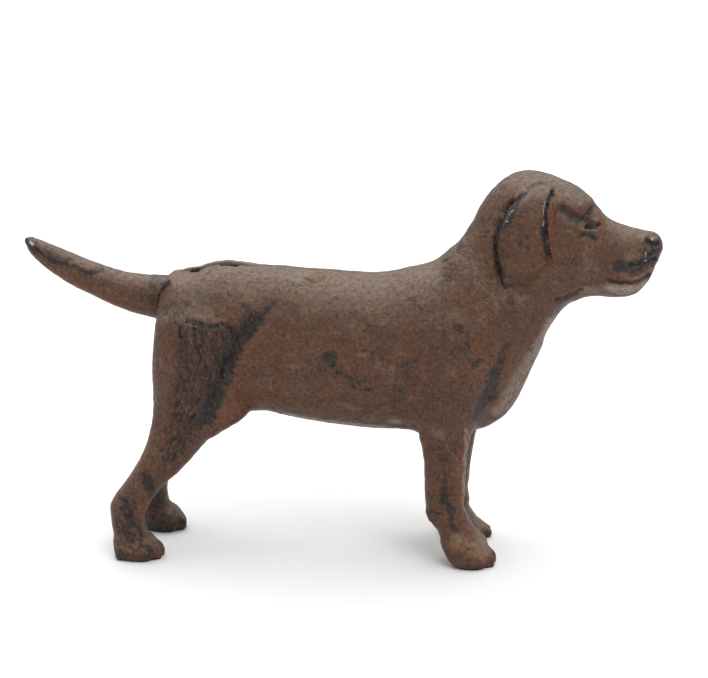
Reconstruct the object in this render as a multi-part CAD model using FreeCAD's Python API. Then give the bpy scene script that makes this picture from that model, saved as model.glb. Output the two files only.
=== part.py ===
"""Cast-iron dog door stop.

Two hollow castings meet on the dog's mid-plane. A solid tail has a tongue that is trapped between
them, and two slotted machine screws, put in from the dog's left side, hold the three together.

Millimetres, +X towards the nose, +Y the dog's left, +Z up. The origin is on the floor, under
the centre of the bounding box.
"""

import FreeCAD
import Part
import math
import os

V = FreeCAD.Vector

# Castings.
WALL = 3.8  # thickness of the hollow castings
RING_POINTS = 16  # points round one cross-section
NOSE_X = 133.9  # foremost section of the nose
TAIL_TIP_X = -134.4  # rearmost section of the tail
BEYOND = 60.0  # further out, left or right, than anything here
HIND_STEP = 4.4  # how far the left hind foot stands ahead of the right one
STEP_FADE_Z = (74.0, 20.0)  # the step grows from nothing at the first height to all at the second

# Screws: one through the shoulder, one through the haunch and the tail's eye. Places are (x, z).
SHOULDER_SCREW = (36.0, 90.0)
HAUNCH_SCREW = (-48.0, 101.0)
SCREW_R = 2.5
SCREW_END_Y = -13.5
HEAD_R = 4.6
HEAD_H = 3.2
HEAD_EDGE_R = 0.6
SLOT_W = 1.2
SLOT_D = 1.3
POINT_CHAMFER = 0.6
CLEARANCE_R = 2.75
COUNTERBORE_R = 5.2
COUNTERBORE_FLOOR_Y = 16.5
TAPPED_R = 2.55
TAPPED_DEPTH = 15.5
BOSS_R = 7.5

# Tail tongue, which runs from inside the tail to the haunch screw's eye.
TONGUE_START = (-84.0, 109.0)
TONGUE_HALF_T = 3.5
TONGUE_HALF_H = 5.0
EYE_R = 8.0
TONGUE_GAP = 0.15
TAIL_SEAT_GAP = 0.2

# Locating pegs, cast on the left half, and their sockets in the right half. Places are (x, z).
PEGS = ((93.0, 134.0), (-6.0, 64.0))
PEG_R = 2.0
PEG_H = 2.5
PEG_GAP = 0.25
PEG_BOSS_R = 4.5

# Trunk, neck and head, rump first: top edge (x, z), bottom edge (x, z), half width, squareness
# of the section, and how far down from the top its widest level is.
TRUNK = (
    ((-76.6, 110.0), (-77.0, 97.0), 5.0, 2.0, 0.50),
    ((-74.6, 116.2), (-75.4, 84.0), 13.0, 2.1, 0.50),
    ((-70.0, 120.4), (-70.5, 75.0), 18.5, 2.2, 0.50),
    ((-62.0, 123.5), (-62.5, 69.5), 21.0, 2.3, 0.50),
    ((-52.0, 125.4), (-52.5, 65.5), 22.0, 2.3, 0.50),
    ((-43.0, 125.5), (-43.5, 62.8), 21.8, 2.3, 0.50),
    ((-33.0, 124.1), (-33.5, 61.6), 21.3, 2.3, 0.50),
    ((-20.0, 123.6), (-20.0, 59.4), 21.8, 2.3, 0.52),
    ((-5.0, 122.4), (-5.0, 57.0), 23.2, 2.3, 0.54),
    ((10.0, 121.7), (10.5, 55.4), 24.4, 2.3, 0.55),
    ((22.0, 122.5), (25.0, 54.6), 25.0, 2.3, 0.55),
    ((31.0, 124.6), (42.0, 53.6), 25.2, 2.3, 0.54),
    ((37.0, 126.2), (58.0, 54.6), 24.8, 2.25, 0.52),
    ((41.5, 128.4), (70.2, 61.0), 23.4, 2.2, 0.50),
    ((45.5, 132.2), (79.0, 76.0), 21.6, 2.15, 0.48),
    ((50.0, 137.4), (86.6, 93.5), 19.8, 2.1, 0.48),
    ((55.0, 145.2), (92.6, 104.6), 18.6, 2.1, 0.48),
    ((60.5, 154.0), (98.0, 109.9), 18.2, 2.1, 0.46),
    ((67.0, 161.3), (102.4, 112.6), 18.4, 2.15, 0.43),
    ((75.0, 165.3), (106.2, 113.4), 18.6, 2.2, 0.42),
    ((85.0, 164.8), (109.6, 113.3), 17.8, 2.25, 0.42),
    ((95.5, 161.8), (112.6, 113.0), 15.8, 2.3, 0.43),
    ((104.0, 155.8), (115.5, 113.0), 13.2, 2.4, 0.46),
    ((109.2, 148.6), (118.5, 113.3), 11.6, 2.5, 0.52),
    ((114.5, 144.8), (121.5, 114.0), 10.6, 2.6, 0.54),
    ((121.0, 142.6), (125.0, 115.8), 9.8, 2.6, 0.52),
    ((127.3, 141.4), (128.2, 119.0), 8.8, 2.5, 0.50),
    ((131.6, 140.2), (130.8, 123.6), 7.0, 2.3, 0.45),
    ((133.4, 137.8), (132.4, 128.6), 4.4, 2.1, 0.45),
    ((NOSE_X, 135.2), (133.4, 131.6), 1.6, 2.0, 0.50),
)
HOLLOW_STATIONS = TRUNK[2:24]
HOLLOW_SLANT = 1.12  # sections slant to the skin, so the inset along them is a little over WALL

# Legs, top first: rear edge (x, z), front edge (x, z), centre y, half width. Solid iron.
HIND_LEG = (
    ((-71.0, 108.0), (-50.0, 112.0), -11.5, 8.0),
    ((-75.6, 102.0), (-43.5, 106.0), -12.6, 11.8),
    ((-77.6, 92.0), (-41.5, 96.0), -13.3, 12.8),
    ((-78.2, 80.0), (-41.5, 82.0), -13.8, 13.0),
    ((-77.9, 69.0), (-37.5, 70.0), -14.6, 12.2),
    ((-78.3, 60.0), (-40.5, 62.0), -15.4, 10.8),
    ((-79.8, 53.0), (-51.0, 55.6), -16.3, 9.6),
    ((-82.8, 45.5), (-59.0, 47.6), -17.2, 8.5),
    ((-87.2, 38.0), (-66.0, 40.0), -18.0, 7.6),
    ((-91.8, 31.8), (-72.4, 33.4), -18.6, 7.0),
    ((-96.0, 25.8), (-77.8, 27.0), -19.0, 6.8),
    ((-97.4, 20.0), (-81.2, 20.6), -19.0, 6.8),
    ((-96.8, 13.5), (-80.8, 14.0), -19.0, 7.2),
    ((-96.0, 8.0), (-77.0, 9.0), -19.0, 8.6),
    ((-95.4, 3.8), (-74.4, 4.4), -19.0, 9.4),
    ((-94.4, 1.4), (-75.4, 1.6), -19.0, 8.4),
    ((-92.8, 0.0), (-77.4, 0.0), -19.0, 5.8),
)
SHOULDER = (
    ((31.0, 106.0), (58.0, 114.0), -13.0, 8.0),
    ((30.5, 98.0), (64.0, 106.0), -13.6, 11.4),
    ((31.5, 87.0), (66.5, 93.0), -14.0, 12.4),
    ((33.0, 76.0), (64.5, 80.0), -14.4, 12.2),
    ((33.8, 66.0), (60.5, 68.0), -15.2, 11.2),
)
RIGHT_FOREARM = (
    ((34.6, 58.0), (57.0, 59.0), -16.2, 9.8),
    ((36.0, 50.0), (55.2, 50.0), -17.0, 8.8),
    ((37.0, 41.0), (54.4, 41.0), -17.6, 8.2),
    ((37.3, 32.0), (54.2, 32.0), -18.0, 7.8),
    ((37.8, 24.0), (55.2, 24.4), -18.2, 7.8),
    ((40.6, 17.6), (58.4, 18.8), -18.4, 8.3),
    ((43.4, 11.4), (62.8, 12.6), -18.6, 9.2),
    ((44.6, 6.4), (66.6, 7.2), -18.6, 9.9),
    ((46.2, 2.6), (67.2, 2.8), -18.6, 9.6),
    ((48.0, 1.0), (66.2, 1.1), -18.6, 8.2),
    ((50.2, 0.0), (64.0, 0.0), -18.6, 5.8),
)
LEFT_FOREARM = (
    ((34.6, 58.0), (60.0, 59.0), -16.2, 9.8),
    ((36.0, 50.0), (58.4, 50.0), -17.0, 8.8),
    ((37.0, 41.0), (56.8, 41.0), -17.6, 8.2),
    ((37.3, 32.0), (55.6, 32.0), -18.0, 7.8),
    ((38.0, 24.0), (55.0, 24.0), -18.2, 7.8),
    ((40.2, 17.0), (55.8, 17.4), -18.4, 8.2),
    ((42.6, 10.6), (59.8, 10.8), -18.6, 9.0),
    ((43.6, 6.0), (63.6, 6.2), -18.6, 9.6),
    ((45.0, 2.6), (65.4, 2.7), -18.6, 9.4),
    ((46.8, 1.0), (64.6, 1.1), -18.6, 8.2),
    ((49.0, 0.0), (62.6, 0.0), -18.6, 5.8),
)

# Ear flap on the head, top first, in the same form as a leg.
EAR = (
    ((76.0, 160.6), (83.5, 161.4), -13.0, 2.6),
    ((71.4, 156.6), (87.0, 158.4), -16.4, 3.2),
    ((67.6, 149.0), (88.0, 151.0), -19.0, 3.4),
    ((66.0, 141.0), (88.4, 143.0), -20.2, 3.3),
    ((66.0, 133.0), (88.6, 135.6), -20.6, 3.1),
    ((68.0, 127.4), (86.0, 130.4), -20.2, 2.6),
    ((71.4, 124.8), (78.4, 126.0), -19.4, 1.6),
)

# Tail: top edge (x, z), bottom edge (x, z), half width. The first section lies in the rump.
TAIL = (
    ((-66.0, 118.0), (-68.0, 101.0), 7.4),
    ((-75.0, 119.4), (-78.4, 100.6), 8.0),
    ((-85.0, 120.0), (-86.2, 102.5), 7.9),
    ((-94.0, 121.6), (-95.8, 105.5), 7.5),
    ((-102.5, 124.0), (-104.8, 109.8), 7.0),
    ((-111.0, 127.2), (-114.6, 114.7), 6.3),
    ((-119.0, 130.6), (-123.0, 119.9), 5.5),
    ((-126.5, 134.0), (-130.2, 125.4), 4.5),
    ((-131.4, 136.0), (-133.6, 129.6), 3.0),
    ((TAIL_TIP_X + 0.5, 135.4), (TAIL_TIP_X, 132.6), 1.4),
)


def signed_power(value, power):
    return math.copysign(abs(value) ** power, value)


def ring(edge_a, edge_b, centre_y, half_width, square=2.2, widest=0.5):
    """A closed smooth section through both edges. Its plane holds them and the Y direction."""
    points = []
    for i in range(RING_POINTS):
        angle = 2 * math.pi * i / RING_POINTS
        across = signed_power(math.cos(angle), 2 / square)
        along = signed_power(math.sin(angle), 2 / square)
        reach = widest if along < 0 else 1 - widest
        share = widest + reach * along
        x = edge_a[0] + share * (edge_b[0] - edge_a[0])
        z = edge_a[1] + share * (edge_b[1] - edge_a[1])
        points.append(V(x, centre_y + half_width * across, z))
    curve = Part.BSplineCurve()
    curve.interpolate(Points=points, PeriodicFlag=True)
    return Part.Wire(curve.toShape())


def loft(wires):
    solid = Part.makeLoft(wires, True, False)
    if solid.Volume < 0:
        solid.reverse()
    return solid


def only_solid(shape):
    """The one solid of a result. Anything else means that a feature missed its neighbour."""
    if len(shape.Solids) != 1:
        raise ValueError(f"expected one solid, got {len(shape.Solids)}")
    return shape.Solids[0]


def cylinder_along_y(place, radius, y_from, y_to):
    """A cylinder at place (x, z), between two y values."""
    low = min(y_from, y_to)
    return Part.makeCylinder(radius, abs(y_to - y_from), V(place[0], low, place[1]), V(0, 1, 0))


def mirrored(shape):
    """The same shape on the other side of the mid-plane."""
    return shape.mirror(V(0, 0, 0), V(0, 1, 0))


def trunk():
    return loft([ring(top, low, 0, width, square, widest) for top, low, width, square, widest in TRUNK])


def hollow():
    """The trunk's sections, moved in by the wall."""
    wires = []
    for top, low, width, square, widest in HOLLOW_STATIONS:
        chord = V(low[0] - top[0], 0, low[1] - top[1])
        inset = chord * (WALL * HOLLOW_SLANT / chord.Length)
        inner_top = (top[0] + inset.x, top[1] + inset.z)
        inner_low = (low[0] - inset.x, low[1] - inset.z)
        wires.append(ring(inner_top, inner_low, 0, width - WALL, square, widest))
    return loft(wires)


def leg(stations):
    return loft([ring(rear, front, y, width, 2.3) for rear, front, y, width in stations])


def ear():
    return loft([ring(rear, front, y, width, 2.4) for rear, front, y, width in EAR])


def stepped(stations, step):
    """Leg stations moved forward: by nothing at the hip, by the whole step at the foot."""
    high, low = STEP_FADE_Z
    moved = []
    for rear, front, centre_y, width in stations:
        middle = (rear[1] + front[1]) / 2
        share = min(1.0, max(0.0, (high - middle) / (high - low)))
        move = step * share * share * (3 - 2 * share)
        moved.append(((rear[0] + move, rear[1]), (front[0] + move, front[1]), centre_y, width))
    return moved


def outside(hind_leg, fore_leg):
    """The outside of one casting as full iron, on the right of the mid-plane."""
    length = 4 * BEYOND
    right_side = Part.makeBox(2 * length, BEYOND, length, V(-length, -BEYOND, -BEYOND / 2))
    body = trunk().common(right_side)
    for limb in (leg(hind_leg), leg(fore_leg), ear()):
        body = body.fuse(limb)
    return only_solid(body)


def cavity():
    """The hollow, less the bosses for the screws and the pegs that cross it."""
    space = hollow()
    for place in (SHOULDER_SCREW, HAUNCH_SCREW):
        space = space.cut(cylinder_along_y(place, BOSS_R, -BEYOND, BEYOND))
    for place in PEGS:
        space = space.cut(cylinder_along_y(place, PEG_BOSS_R, -BEYOND, BEYOND))
    return space


def tongue(grow):
    """The tail's tongue and eye, grown by a gap where it makes the notch in the castings."""
    start = V(TONGUE_START[0], 0, TONGUE_START[1])
    end = V(HAUNCH_SCREW[0], 0, HAUNCH_SCREW[1])
    along = (end - start).normalize()
    up = V(-along.z, 0, along.x)
    half_t = TONGUE_HALF_T + grow
    half_h = TONGUE_HALF_H + grow
    corners = [start + up * half_h, end + up * half_h, end - up * half_h, start - up * half_h]
    corners.append(corners[0])
    outline = Part.makePolygon([corner - V(0, half_t, 0) for corner in corners])
    bar = Part.Face(outline).extrude(V(0, 2 * half_t, 0))
    return bar.fuse(cylinder_along_y(HAUNCH_SCREW, EYE_R + grow, -half_t, half_t))


def right_body_half(body, space, notch):
    """The right casting: hollow, with tapped bosses and the sockets for the pegs."""
    half = body.cut(space).cut(notch)
    for place in (SHOULDER_SCREW, HAUNCH_SCREW):
        half = half.cut(cylinder_along_y(place, TAPPED_R, 0, -TAPPED_DEPTH))
    for place in PEGS:
        half = half.cut(cylinder_along_y(place, PEG_R + PEG_GAP, 0, -PEG_H - PEG_GAP))
    return only_solid(half)


def left_body_half(body, space, notch):
    """The left casting: hollow, with clearance holes, counterbores and the pegs."""
    half = body.cut(space).cut(notch)
    for place in (SHOULDER_SCREW, HAUNCH_SCREW):
        half = half.cut(cylinder_along_y(place, CLEARANCE_R, 0, BEYOND))
        half = half.cut(cylinder_along_y(place, COUNTERBORE_R, COUNTERBORE_FLOOR_Y, BEYOND))
    for place in PEGS:
        half = half.fuse(cylinder_along_y(place, PEG_R, -PEG_H, PEG_H))
    return only_solid(half)


def tail(right_body, left_body):
    """The tail, cut to sit just off the rump, with its tongue and eye."""
    solid = loft([ring(top, low, 0, width, 2.0) for top, low, width in TAIL])
    for body in (right_body, left_body):
        seat = body.copy()
        seat.translate(V(-TAIL_SEAT_GAP, 0, 0))
        solid = solid.cut(seat)
    solid = solid.fuse(tongue(0.0))
    solid = solid.cut(cylinder_along_y(HAUNCH_SCREW, CLEARANCE_R, -BEYOND, BEYOND))
    return only_solid(solid)


def screw(place):
    """A slotted cheese-head machine screw, with its thread as a plain shank."""
    under_head = COUNTERBORE_FLOOR_Y
    top = under_head + HEAD_H
    shank = cylinder_along_y(place, SCREW_R, SCREW_END_Y, under_head)
    end_edge = [edge for edge in shank.Edges if edge.BoundBox.YMax < SCREW_END_Y + 0.01]
    shank = shank.makeChamfer(POINT_CHAMFER, end_edge)
    head = cylinder_along_y(place, HEAD_R, under_head, top)
    rim = [edge for edge in head.Edges if edge.BoundBox.YMin > top - 0.01]
    head = head.makeFillet(HEAD_EDGE_R, rim)
    corner = V(place[0] - SLOT_W / 2, top - SLOT_D, place[1] - HEAD_R)
    slot = Part.makeBox(SLOT_W, SLOT_D, 2 * HEAD_R, corner)
    return only_solid(shank.fuse(head).cut(slot))


def main():
    os.makedirs("parts", exist_ok=True)
    right_body = outside(HIND_LEG, SHOULDER + RIGHT_FOREARM)
    left_body = mirrored(outside(stepped(HIND_LEG, HIND_STEP), SHOULDER + LEFT_FOREARM))
    space = cavity()
    notch = tongue(TONGUE_GAP)
    nodes = {
        "right_body_half": right_body_half(right_body, space, notch),
        "left_body_half": left_body_half(left_body, space, notch),
        "tail": tail(right_body, left_body),
        "assembly_screws": Part.makeCompound([screw(SHOULDER_SCREW), screw(HAUNCH_SCREW)]),
    }
    for name, shape in nodes.items():
        if not shape.isValid():
            raise ValueError(f"{name} is not a valid shape")
        shape.exportStep(f"parts/{name}.step")
        print(name, round(shape.Volume / 1000, 1), "cm3")


main()
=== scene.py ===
"""Looks of the cast-iron dog door stop.

The two castings and the tail are sculpted here around their CAD solids: each is turned into a
distance field, its joints are softened, ears, eyes, nose, mouth and toes are cut into the field,
and the mesh that comes out of it gets creases, hair, pits and casting grain.
Sculpting works in millimetres, with the dog's outer side at negative y on both halves.
"""
import math

import bpy
import numpy as np
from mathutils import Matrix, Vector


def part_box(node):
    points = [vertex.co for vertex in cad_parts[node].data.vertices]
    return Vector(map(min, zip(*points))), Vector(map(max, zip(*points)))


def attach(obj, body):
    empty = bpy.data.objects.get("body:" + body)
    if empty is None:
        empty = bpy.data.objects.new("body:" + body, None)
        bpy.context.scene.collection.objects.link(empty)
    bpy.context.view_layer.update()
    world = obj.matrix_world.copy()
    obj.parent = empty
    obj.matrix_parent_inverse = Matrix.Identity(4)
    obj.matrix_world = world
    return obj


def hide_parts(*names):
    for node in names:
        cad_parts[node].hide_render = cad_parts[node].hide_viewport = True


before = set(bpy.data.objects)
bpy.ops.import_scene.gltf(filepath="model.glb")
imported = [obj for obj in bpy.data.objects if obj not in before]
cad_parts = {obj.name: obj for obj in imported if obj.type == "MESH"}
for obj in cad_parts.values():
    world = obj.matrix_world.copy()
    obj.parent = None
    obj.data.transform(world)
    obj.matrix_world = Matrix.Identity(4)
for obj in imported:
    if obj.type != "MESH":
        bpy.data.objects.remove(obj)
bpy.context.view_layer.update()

import openvdb as vdb
from mathutils import Vector

MM = 0.001

VOXEL = 0.74  # mm, edge of one cell of a casting's field
TAIL_VOXEL = 0.5
BAND = 8.0  # mm, how far from the surface a field is a true distance
MARGIN = 4.0  # mm of empty space round a field
SOFT = 1.3  # mm, smoothing over the whole body
SOFTER = 3.4  # mm, smoothing where a limb grows out of the body
JOINT = 0.2  # mm, air between a casting and the tail or a screw

RIGHT, LEFT = -1, 1


# ---- small helpers

def ramp(low, high, value):
    share = np.clip((value - low) / (high - low), 0.0, 1.0)
    return share * share * (3.0 - 2.0 * share)


def bump(distance, width):
    """1 at no distance, falling smoothly to 0 a little past the width."""
    return np.exp(-((distance / width) ** 2))


def between(low, high, fade, value):
    """1 from low to high, fading to 0 outside them."""
    return ramp(low - fade, low, value) * ramp(high + fade, high, value)


def oval(x, z, centre_x, centre_z, reach_x, reach_z, strength):
    """A soft patch in the x, z plane, as high as strength at its centre."""
    return strength * bump(x - centre_x, reach_x) * bump(z - centre_z, reach_z)


class Noise:
    """Smooth noise from -1 to 1, from a repeating lattice of random values."""

    SIZE = 32
    TURN = np.array(((0.36, 0.48, -0.8), (-0.8, 0.60, 0.0), (0.48, 0.64, 0.6)), dtype=np.float32)

    def __init__(self, seed):
        rng = np.random.default_rng(seed)
        self.lattice = rng.random((self.SIZE,) * 3, dtype=np.float32) * 2.0 - 1.0

    def __call__(self, points, scale):
        q = (points @ self.TURN.T) / np.float32(scale)
        cell = np.floor(q).astype(np.int64)
        f = (q - cell).astype(np.float32)
        f = f * f * (3.0 - 2.0 * f)
        total = np.zeros(len(points), dtype=np.float32)
        for corner in np.ndindex(2, 2, 2):
            i, j, k = ((cell + corner) % self.SIZE).T
            weight = np.ones(len(points), dtype=np.float32)
            for axis, end in enumerate(corner):
                weight *= f[:, axis] if end else 1.0 - f[:, axis]
            total += weight * self.lattice[i, j, k]
        return total

    def layered(self, points, scale, layers=3):
        """Layers of ever finer and weaker noise."""
        total = 0.0
        strength = 1.0
        for _ in range(layers):
            total = total + strength * self(points, scale)
            scale *= 0.5
            strength *= 0.5
        return total


def smooth_line(points, step=0.8):
    """Points every step mm or so along a smooth curve through the given points."""
    p = np.array(points, dtype=np.float64)
    p = np.vstack((2 * p[0] - p[1], p, 2 * p[-1] - p[-2]))
    out = []
    for a, b, c, d in zip(p[:-3], p[1:-2], p[2:-1], p[3:]):
        count = max(2, int(np.linalg.norm(c - b) / step))
        for t in np.arange(count) / count:
            out.append(0.5 * (2 * b + (c - a) * t + (2 * a - 5 * b + 4 * c - d) * t**2
                              + (3 * b - a - 3 * c + d) * t**3))
    out.append(p[-2])
    return np.array(out, dtype=np.float32)


def distance_to_line(coords, line):
    """Distance from each coordinate to a sampled line."""
    best = np.full(len(coords), 1e9, dtype=np.float32)
    for point in line:
        np.minimum(best, ((coords - point) ** 2).sum(1), out=best)
    return np.sqrt(best)


def distance_to_outline(x, z, outline):
    """Signed distance in the x, z plane to a closed smooth outline, negative inside."""
    loop = smooth_line(list(outline) + [outline[0]], 0.5)
    best = np.full(x.shape, 1e9)
    inside = np.zeros(x.shape, dtype=bool)
    for a, b in zip(loop, np.roll(loop, -1, 0)):
        np.minimum(best, (x - a[0]) ** 2 + (z - a[1]) ** 2, out=best)
        if a[1] == b[1]:
            continue
        at = a[0] + (z - a[1]) * (b[0] - a[0]) / (b[1] - a[1])
        inside ^= ((a[1] > z) != (b[1] > z)) & (x < at)
    return np.sqrt(best) * np.where(inside, -1.0, 1.0)


# ---- fields

def node_arrays(node, side):
    """A CAD node's points in mm, with the outer side at negative y, and its triangles."""
    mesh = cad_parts[node].data
    points = np.empty(len(mesh.vertices) * 3, dtype=np.float32)
    mesh.vertices.foreach_get("co", points)
    points = points.reshape(-1, 3) / np.float32(MM)
    mesh.calc_loop_triangles()
    triangles = np.empty(len(mesh.loop_triangles) * 3, dtype=np.int32)
    mesh.loop_triangles.foreach_get("vertices", triangles)
    triangles = triangles.reshape(-1, 3)
    if side == LEFT:
        points = points * np.array((1, -1, 1), dtype=np.float32)
        triangles = triangles[:, ::-1]
    return points, np.ascontiguousarray(triangles, dtype=np.uint32)


class Field:
    """A distance field on a dense grid. Its y samples straddle the mid-plane evenly."""

    def __init__(self, low, high, voxel):
        self.voxel = voxel
        self.first = np.floor(np.array(low) / voxel).astype(int)
        self.count = np.ceil(np.array(high) / voxel).astype(int) - self.first + 1
        self.offset = np.array((0.0, voxel / 2, 0.0), dtype=np.float32)
        self.values = None

    def axis(self, index):
        return ((self.first[index] + np.arange(self.count[index])) * self.voxel
                + self.offset[index]).astype(np.float32)

    def measure(self, points, faces):
        """Distances to a closed mesh, negative inside, no further than BAND."""
        transform = vdb.createLinearTransform(voxelSize=self.voxel)
        corners = {"triangles": faces} if faces.shape[1] == 3 else {"quads": faces}
        grid = vdb.FloatGrid.createLevelSetFromPolygons(
            points - self.offset, transform=transform, halfWidth=BAND / self.voxel, **corners)
        out = np.full(tuple(self.count), BAND, dtype=np.float32)
        grid.copyToArray(out, ijk=tuple(int(i) for i in self.first))
        return out

    def mesh(self):
        """Points and quads of the zero surface."""
        grid = vdb.FloatGrid(BAND)
        grid.transform = vdb.createLinearTransform(voxelSize=self.voxel)
        near = np.clip(self.values, -BAND, BAND).astype(np.float32)
        grid.copyFromArray(near, ijk=tuple(int(i) for i in self.first))
        points, quads = grid.convertToQuads(isovalue=0.0)
        return points.astype(np.float32) + self.offset, quads

    def window(self, low, high):
        """Slices that cover a box, and the x, y, z of the samples in it."""
        slices = []
        axes = []
        for index in range(3):
            line = self.axis(index)
            start = int(np.searchsorted(line, low[index]))
            stop = int(np.searchsorted(line, high[index]))
            slices.append(slice(start, stop))
            axes.append(line[start:stop])
        x, y, z = np.meshgrid(*axes, indexing="ij", sparse=True)
        return tuple(slices), x, y, z

    def push(self, low, high, depth):
        """Move the surface in by depth(x, y, z) mm inside a box."""
        slices, x, y, z = self.window(low, high)
        self.values[slices] += depth(x, y, z).astype(np.float32)

    def copy_to_other_side(self):
        """Make the far side of the mid-plane a mirror image of the near side."""
        middle = int(np.searchsorted(self.axis(1), 0.0))
        beyond = self.values.shape[1] - middle
        self.values[:, middle:] = self.values[:, middle - beyond:middle][:, ::-1]


def blurred(values, sigma):
    """Three passes of a box filter along each axis, close to a bell-shaped blur of sigma cells."""
    radius = max(1, int(round((math.sqrt(4 * sigma * sigma + 1) - 1) / 2)))
    width = 2 * radius + 1
    out = values
    for axis in range(3):
        for _ in range(3):
            pad = [(0, 0)] * 3
            pad[axis] = (radius + 1, radius)
            total = np.cumsum(np.pad(out, pad, mode="edge"), axis=axis, dtype=np.float64)
            size = total.shape[axis]
            high = np.take(total, range(width, size), axis=axis)
            low = np.take(total, range(0, size - width), axis=axis)
            out = ((high - low) / width).astype(np.float32)
    return out


def grown(cells):
    """The cells and their neighbours along each axis."""
    out = cells.copy()
    for axis in range(3):
        ahead = [slice(None)] * 3
        behind = [slice(None)] * 3
        ahead[axis], behind[axis] = slice(1, None), slice(None, -1)
        out[tuple(ahead)] |= cells[tuple(behind)]
        out[tuple(behind)] |= cells[tuple(ahead)]
    return out


def reached_from_outside(solid):
    """The empty cells of a coarse grid that open space can reach without crossing y = 0."""
    empty = ~solid
    reached = np.zeros_like(solid)
    reached[0], reached[-1] = empty[0], empty[-1]
    reached[:, 0] = empty[:, 0]
    reached[:, :, 0], reached[:, :, -1] = empty[:, :, 0], empty[:, :, -1]
    while True:
        wider = grown(reached) & empty
        if (wider == reached).all():
            return reached
        reached = wider


def fill_cavity(field, half, tail):
    """The casting's field with its inner hollow filled. The tail's tongue plugs its notch."""
    coarse = 3
    middle = int(np.searchsorted(field.axis(1), 0.0))
    solid = np.minimum(half, tail)[:, :middle] < 0
    blocks = np.pad(solid, [(0, -size % coarse) for size in solid.shape])
    shape = [size // coarse for size in blocks.shape]
    blocks = blocks.reshape(shape[0], coarse, shape[1], coarse, shape[2], coarse).any((1, 3, 5))
    hidden = grown(~blocks & ~reached_from_outside(blocks))
    fine = hidden.repeat(coarse, 0).repeat(coarse, 1).repeat(coarse, 2)
    fine = fine[:solid.shape[0], :solid.shape[1], :solid.shape[2]]
    filled = half.copy()
    filled[:, :middle][fine] = -BAND
    return filled


# ---- sculpting the castings

# How far in y a groove reaches: it stops short of the seam, just crosses it, or goes well past it.
SHORT, ACROSS, PAST = -2.0, 2.0, 12.0
OUTSIDE = -60.0  # mm in y, outside any casting

# Soft patches as centre x and z, reach in x and z, and strength.
GROWTHS = ((48, 66, 22, 14, 1.0), (-62, 70, 22, 18, 1.0), (84, 112, 14, 12, 0.7), (-59, 107, 15, 9, 0.9))
TAIL_SEAT = (-78, 110, 7, 11, 0.9)
EYE_SOCKET = (103.4, 145.8, 3.6, 2.7, 2.3)

EAR = ((84, 162), (80.7, 161.6), (77.5, 159.4), (73.4, 155.2), (69.4, 149.4), (66.6, 144.3), (65.6, 138.4),
       (65.9, 133.2), (67.1, 127.3), (69.2, 121), (76.6, 122.1), (81.5, 125.6), (85.6, 129.5), (86.3, 133.7),
       (85.2, 140.5), (84.4, 145.6), (84.5, 151.5), (85.6, 156), (87.5, 160))
BROW = ((91.8, 152.2), (96, 149.8), (99.6, 149.2), (103.4, 151))
UPPER_LID = ((99.9, 144.2), (101.6, 146.8), (103.9, 148.3), (107.2, 147))
LOWER_LID = ((99.9, 144.2), (103.2, 143.6), (106.5, 144))
EYE_POCKET = ((99.5, 141.2), (102.4, 142), (105.4, 140))
NOSE_EDGE = ((131, 139.6), (127.6, 139.2), (126.1, 137.4), (126, 134.4), (127.3, 131.6), (130.4, 130.6))
NOSTRIL = ((127.7, 137.6), (129.6, 136.6), (131.6, 136.8))
LIP = ((115.5, 128.3), (120.1, 128.9), (124.3, 129), (127.4, 129.4), (130.2, 131))
MOUTH = ((111.5, 122.4), (115.3, 121.1), (122, 121), (126.1, 122.6), (128.2, 124.5))
EYEBALL = (104.0, -12.7, 145.9)
EYEBALL_R = 2.1
# Lines with width, depth and reach in y. A negative depth is a ridge.
FACE = (
    (UPPER_LID, 0.75, -1.2, SHORT),
    (LOWER_LID, 0.7, -1.0, SHORT),
    (BROW, 2.0, 1.1, SHORT),
    (EYE_POCKET, 1.0, 0.9, SHORT),
    (NOSE_EDGE, 0.7, 0.8, -1.0),
    ([(x - 1.0, z) for x, z in NOSE_EDGE[1:5]], 0.7, -0.5, SHORT),
    (NOSTRIL, 0.9, 1.9, -3.0),
    (LIP, 1.4, 0.9, SHORT),
    (MOUTH, 0.9, 1.7, ACROSS),
    (((129.5, 125.6), (132, 127.5)), 0.8, 0.4, ACROSS),
    ([(x, z + 2.4) for x, z in MOUTH[1:]], 1.2, -0.4, SHORT),
)
# Where the outline is taken in, or let out by a negative depth, all round the body or limb there.
OUTLINE = (
    (((-76.5, 117), (-71.5, 119.5)), 2.6, -1.5), (((-66, 120.5), (-60.5, 122)), 3.0, 0.8),
    (((49.5, 136.5), (52.6, 140.5), (56, 144.5)), 4.0, 0.9),
    (((94, 162), (98.4, 160.6), (102, 158.5)), 4.0, 0.8), (((107, 151.5), (113, 148)), 3.0, 0.5),
    (((95.5, 109.5), (93, 105.5), (91, 102), (88.5, 97)), 4.0, 1.2),
    (((131.5, 122.5), (129, 118)), 3.0, 0.6), (((-36.5, 65), (-41, 62.5)), 3.0, -1.4),
    (((-45.5, 60.3), (-51.5, 56)), 3.0, -1.2), (((24, 60), (32, 59.5)), 3.2, 1.5),
    (((33.2, 57.5), (34, 54.5)), 2.2, -0.6), (((43.5, 3.5), (46, 0)), 3.0, 1.9),
    (((-56, 49), (-66, 39)), 4.0, -0.5), (((132.5, 139), (133.5, 135)), 3.0, -0.4),
    (((36, 57), (38, 48), (39, 30)), 2.5, -0.25), (((38.2, 23), (38.6, 20.5)), 2.0, -0.9),
    (((42.6, 15.5), (43.8, 12)), 1.8, 0.8),
)
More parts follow.
